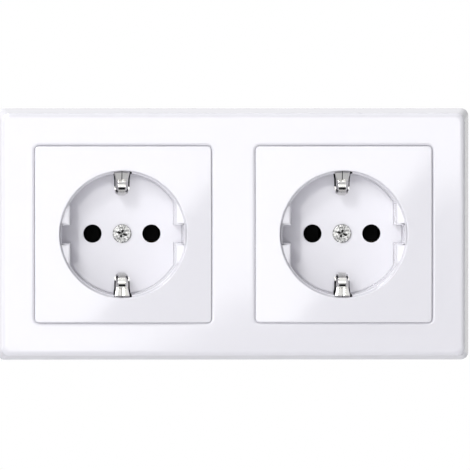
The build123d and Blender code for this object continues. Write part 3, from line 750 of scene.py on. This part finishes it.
def bent_line(route, step):
    """Points along a line with bent corners, the length from its start to each, and to each corner."""
    bends = [route[0][:2]]
    for before, (x, y, radius), after in zip(route, route[1:], route[2:]):
        corner = Vector((x, y))
        start = corner + (Vector(before[:2]) - corner).normalized() * radius
        end = corner + (Vector(after[:2]) - corner).normalized() * radius
        for t in spread(0, 1, BEND_STEPS) + [1]:
            bends.append(tuple(start.lerp(corner, t).lerp(corner.lerp(end, t), t)))
    bends.append(route[-1][:2])
    points = [Vector(bends[0])]
    for here, there in zip(bends, bends[1:]):
        here, there = Vector(here), Vector(there)
        count = max(1, round((there - here).length / step))
        points += [here.lerp(there, k / count) for k in range(1, count + 1)]
    lengths = [0.0]
    for here, there in zip(points, points[1:]):
        lengths.append(lengths[-1] + (there - here).length)
    marks = [min(zip(points, lengths), key=lambda p: (p[0] - Vector(corner[:2])).length)[1]
             for corner in route[1:-1]]
    return points, lengths, marks


def ease(value, start, end):
    """Smooth rise from 0 at the start to 1 at the end."""
    t = min(max((value - start) / (end - start), 0), 1)
    return t * t * (3 - 2 * t)


def slot_outline(x, z, half, reach):
    """Upright slot with round ends, from its middle, half its width and its reach up and down."""
    end = reach - half
    upper = spread(0, math.pi, SLOT_END_STEPS) + [math.pi]
    lower = spread(math.pi, 2 * math.pi, SLOT_END_STEPS) + [2 * math.pi]
    return [polar(half, a, x, z + end) for a in upper] + [polar(half, a, x, z - end) for a in lower]


def pressed_height(share, half, lanes, tongue):
    """Height of an arm's front at a share of its half width.
    Lanes and tongue say how far each of them is pressed there."""
    height = LANE_HEIGHT * lanes * (1 - (2 * share - 1) ** 2)
    height -= EDGE_ROLL * max(share - EDGE_START, 0) ** 2 / EDGE_SQUARE
    height += tongue * (TONGUE_HEIGHT - TONGUE_HEIGHT * ease(share * half, TONGUE_TOP, TONGUE_FOOT)
                        - FLANGE_FALL * max(share * half - FLANGE_START, 0))
    return height


def earth_arm(sign, punch, shift):
    """Contact arm as a pressed strip: two lanes at the tip, a raised tongue over the crest with a punched
    window, and flanges beside it that end above the nose. Its free end stands aside by the shift."""
    points, lengths, (valley, _, _, pad, nose, leg) = bent_line(ARM_ROUTE, ROUTE_STEP)
    bm = bmesh.new()
    rows = []
    for k, (point, length) in enumerate(zip(points, lengths)):
        ahead = (points[min(k + 1, len(points) - 1)] - points[max(k - 1, 0)]).normalized()
        normal = Vector((-ahead.y, ahead.x))
        half = ARM_HALF - TIP_TAPER * ease(length, 0, valley)
        half -= WAIST * ease(length, pad - WAIST_RUN, pad + WAIST_RUN)
        half += WAIST * ease(length, nose + NOSE_RUN, nose + WAIST_END)
        lanes = 1 - ease(length, valley - LANE_RUN, valley)
        tongue = ease(length, valley, valley + LANE_RUN)
        tongue *= 1 - ease(length, nose + NOSE_RUN, nose + TONGUE_END)
        offset = shift * (1 - ease(length, nose, leg))
        heights = [(u, STRIP_FRONT + pressed_height(abs(u), half, lanes, tongue))
                   for u in [-q for q in reversed(ACROSS)] + ACROSS[1:]]
        row = []
        for u, height in heights + [(u, -STRIP_BACK) for u in ACROSS_BACK]:
            place = point + normal * height
            row.append(bm.verts.new(((sign * u * half + offset) * MM, place.y * MM, sign * place.x * MM)))
        rows.append(row)
    for row, after in zip(rows, rows[1:]):
        for k in range(len(row)):
            bm.faces.new((row[k - 1], row[k], after[k], after[k - 1]))
    bm.faces.new(rows[0])
    bm.faces.new(rows[-1])
    bmesh.ops.recalc_face_normals(bm, faces=bm.faces)
    slit = slot_outline(shift, sign * SLIT_PLACE, SLIT_HALF, SLIT_REACH)
    window = [(x, z) for z, x in slot_outline(sign * punch, shift, PUNCH_HALF, PUNCH_REACH)]
    tools = [solid([(outline, depth) for depth in depths])
             for outline, depths in ((slit, SLIT_DEPTHS), (window, PUNCH_DEPTHS))]
    return combine(bm, tools, "DIFFERENCE", folded=True)


def earth_bracket_shape(node, centre):
    """The node's bar, boss and tongue with pressed contact arms on its legs."""
    bm = eased(node, BRACKET_EASE)
    bmesh.ops.bisect_plane(bm, geom=bm.verts[:] + bm.edges[:] + bm.faces[:], dist=WELD, clear_inner=True,
                           plane_co=(0, LEG_START * MM, 0), plane_no=(0, 1, 0))
    bmesh.ops.holes_fill(bm, edges=[e for e in bm.edges if e.is_boundary])
    bmesh.ops.translate(bm, vec=(-centre * MM, 0, 0), verts=bm.verts)
    arms = [earth_arm(1, UPPER_PUNCH, UPPER_SHIFT), earth_arm(-1, LOWER_PUNCH, LOWER_SHIFT)]
    return combine(bm, arms, "UNION", folded=True)


# Pieces that keep their solid's form: the word for their making, the round on their edges, and their slot
EASED = {
    "support_ring": ("stamping", 0.14, "zinc_plated_sheet"),
    "base_collar": ("moulding", 0.25, "black_moulding"),
    "contact_base": ("moulding", 0.25, "black_moulding"),
    "rear_cover": ("moulding", 0.25, "black_moulding"),
    "line_contact": ("strip", 0.10, "brass_strip"),
    "neutral_contact": ("strip", 0.10, "brass_strip"),
    "line_clamp_spring": ("leaf", 0.06, "spring_steel"),
    "neutral_clamp_spring": ("leaf", 0.06, "spring_steel"),
    "earth_clamp_spring": ("leaf", 0.06, "spring_steel"),
    "line_release_button": ("slider", 0.15, "grey_button"),
    "neutral_release_button": ("slider", 0.15, "grey_button"),
    "earth_release_button": ("slider", 0.15, "grey_button"),
    "upper_claw": ("stamping", 0.12, "zinc_plated_sheet"),
    "lower_claw": ("stamping", 0.12, "zinc_plated_sheet"),
}


def body_of(node):
    return next(body for body, members in frame["record"]["behaviour"]["bodies"].items() if node in members)


def dress_socket(gang):
    """All pieces of one socket, each on its node's body."""
    centre = middle(f"{gang}_cover_plate")
    settle(f"{gang}_plate_with_plug_well", cover_plate_shape(), "gloss_white_moulding", ROOT,
           f"{gang}_cover_plate", centre)
    screw = screw_shape(CENTRE_SHANK, CENTRE_HEAD, CENTRE_HEAD_HEIGHT, WELL_FLOOR, CENTRE_END, CENTRE_DRIVE,
                        CENTRE_POINTS)
    settle(f"{gang}_centre_screw_turned", screw, "nickel_plated_screw", ROOT, f"{gang}_centre_screw", centre)
    node = f"{gang}_earth_bracket"
    bracket = earth_bracket_shape(node, centre[0])
    settle(f"{node}_pressing", bracket, "nickel_plated_strip", ROOT, node, centre)
    for name, (make, width, slot) in EASED.items():
        node = f"{gang}_{name}"
        settle(f"{node}_{make}", eased(node, width), slot, body_of(node), node)
    for place in ("upper", "lower"):
        node = f"{gang}_{place}_claw_screw"
        low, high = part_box(node)
        seat = low.y / MM + CLAW_HEAD_HEIGHT
        screw = screw_shape(CLAW_SHANK, CLAW_HEAD, CLAW_HEAD_HEIGHT, seat, high.y / MM, CLAW_DRIVE,
                            CLAW_POINTS)
        settle(f"{node}_turned", screw, "zinc_plated_screw", body_of(node), node, middle(node))


centres = [middle(f"{gang}_cover_plate")[0] for gang in GANGS]
settle("cover_frame_moulding", cover_frame_shape(centres), "gloss_white_moulding", ROOT, "cover_frame")
for gang in GANGS:
    dress_socket(gang)


# Studio

# Camera: the picture's width and scale, the lens, and the direction it looks from in degrees right and up
PIXELS_ACROSS, PIXELS_PER_MM = 470, 3.108
LENS, SENSOR = 1400.0, 36.0
CAMERA_AZIMUTH, CAMERA_ELEVATION = -1.73, 0.93
CLIP_START, CLIP_END = 0.1, 20
AIM = Vector((0.47, -10.0, -0.19)) * MM

# Room light, and the floor: its radius and drop in metres, and the even tone that it shows in gloss
ROOM_TINT, ROOM_STRENGTH = "#fbfbff", 0.12
FLOOR_RADIUS, FLOOR_DROP, FLOOR_POINTS = 1.5, 0.3, 96
FLOOR_IN_GLOSS = "#cfcfd2"

# Soft boxes, with their distance and sides in metres
LAMPS = [
    # Mirrored by the crowned fronts, which gives them their bright upper left and calmer lower right
    dict(name="key", azimuth=-11.0, elevation=0.91, distance=30.0, width=12.75, height=16.08, radiance=3.8,
         roll=138.8),
    # Throws the shadow of the well's wall on its floor
    dict(name="front", azimuth=-17.5, elevation=22.0, distance=4.0, width=0.8, height=0.8, radiance=18.0),
    # Lights the right-hand walls of the wells
    dict(name="left", azimuth=-48.0, elevation=12.0, distance=3.0, width=1.6, height=1.6, radiance=1.3),
    # Lights the upper and left-hand edges of the frame
    dict(name="side", azimuth=-78.0, elevation=60.0, distance=3.0, width=2.4, height=2.4, radiance=4.3),
    # Lights the rear
    dict(name="back", azimuth=180.0, elevation=8.0, distance=3.0, width=1.6, height=1.6, radiance=6.5,
         mirrored=False),
    # Small and low, from the right
    dict(name="kicker", azimuth=13.0, elevation=-10.0, distance=4.0, width=0.3, height=0.3, radiance=10.0),
]
# Painted board of the floor: tones, roughness, and its cloud and relief in millimetres
BOARD_TONES, BOARD_ROUGHS = ("#f1f1f3", "#f4f4f5"), (0.6, 0.7)
BOARD_CLOUD, BOARD_RELIEF = 60, 0.01


def towards(azimuth, elevation):
    """Unit vector from the object to a place in front of it, in degrees right and up."""
    turn, lift = math.radians(azimuth), math.radians(elevation)
    return Vector((math.sin(turn) * math.cos(lift), -math.cos(turn) * math.cos(lift), math.sin(lift)))


def place_camera():
    camera = bpy.data.cameras.new("camera")
    camera.lens, camera.sensor_width = LENS, SENSOR
    camera.clip_start, camera.clip_end = CLIP_START, CLIP_END
    made = bpy.data.objects.new("camera", camera)
    away = towards(CAMERA_AZIMUTH, CAMERA_ELEVATION)
    made.location = AIM + away * (PIXELS_ACROSS / PIXELS_PER_MM * LENS / SENSOR * MM)
    made.rotation_mode = "QUATERNION"
    made.rotation_quaternion = (-away).to_track_quat("-Z", "Y")
    bpy.context.scene.collection.objects.link(made)
    bpy.context.scene.camera = made


def place_light(name, azimuth, elevation, distance, width, height, radiance, roll=0.0, mirrored=True):
    """Soft box of even radiance that faces the object; the roll turns its width from the level.
    One that is not mirrored stays out of gloss and metal."""
    lamp = bpy.data.lights.new(name, "AREA")
    lamp.shape, lamp.size, lamp.size_y = "RECTANGLE", width, height
    lamp.energy = radiance * math.pi * width * height
    made = bpy.data.objects.new(name, lamp)
    away = towards(azimuth, elevation)
    made.location = away * distance
    made.visible_glossy = mirrored
    made.rotation_mode = "QUATERNION"
    made.rotation_quaternion = (-away).to_track_quat("-Z", "Y") @ Quaternion((0, 0, 1), math.radians(roll))
    bpy.context.scene.collection.objects.link(made)


def light_room():
    """Dim, even room light, which shows as plain white behind the object and in its gloss."""
    world = bpy.data.worlds.new("studio")
    bpy.context.scene.world = world
    world.use_nodes = True
    tree = world.node_tree
    tree.nodes.clear()
    path = add(tree, "ShaderNodeLightPath").outputs
    seen = add(tree, "ShaderNodeMath", {0: path["Is Camera Ray"], 1: path["Is Glossy Ray"]},
               operation="MAXIMUM")
    seen = add(tree, "ShaderNodeMath", {0: seen.outputs[0], 1: path["Is Transmission Ray"]},
               operation="MAXIMUM")
    room = add(tree, "ShaderNodeBackground", {"Color": linear(ROOM_TINT), "Strength": ROOM_STRENGTH})
    white = add(tree, "ShaderNodeBackground", {"Color": linear("#ffffff"), "Strength": 1.0})
    both = add(tree, "ShaderNodeMixShader", {0: seen.outputs[0], 1: room.outputs[0], 2: white.outputs[0]})
    add(tree, "ShaderNodeOutputWorld", {"Surface": both.outputs[0]})


def place_floor():
    """Pale painted floor below the object, out of the front view; in gloss it shows one even, pale tone."""
    material, tree, shader, where = start_material("matt_white_painted_board", IOR=1.5)
    cloud = add(tree, "ShaderNodeTexNoise",
                {"Vector": where, "Scale": per(BOARD_CLOUD), "Detail": 3.0}).outputs["Fac"]
    shade(tree, shader, BOARD_TONES, cloud, BOARD_ROUGHS, cloud, cloud, relief=BOARD_RELIEF)
    gloss = add(tree, "ShaderNodeLightPath").outputs["Is Glossy Ray"]
    pale = add(tree, "ShaderNodeEmission", {"Color": linear(FLOOR_IN_GLOSS), "Strength": 1.0})
    both = add(tree, "ShaderNodeMixShader", {0: gloss, 1: shader.outputs[0], 2: pale.outputs[0]})
    tree.links.new(both.outputs[0], tree.nodes["Material Output"].inputs["Surface"])
    bm = bmesh.new()
    bmesh.ops.create_circle(bm, cap_ends=True, segments=FLOOR_POINTS, radius=FLOOR_RADIUS)
    floor = to_object("floor", bm)
    floor.location = (0, 0, -FLOOR_DROP)
    floor.data.materials.append(material)


place_camera()
light_room()
for lamp in LAMPS:
    place_light(**lamp)
place_floor()
bpy.context.scene.view_settings.view_transform = "Standard"
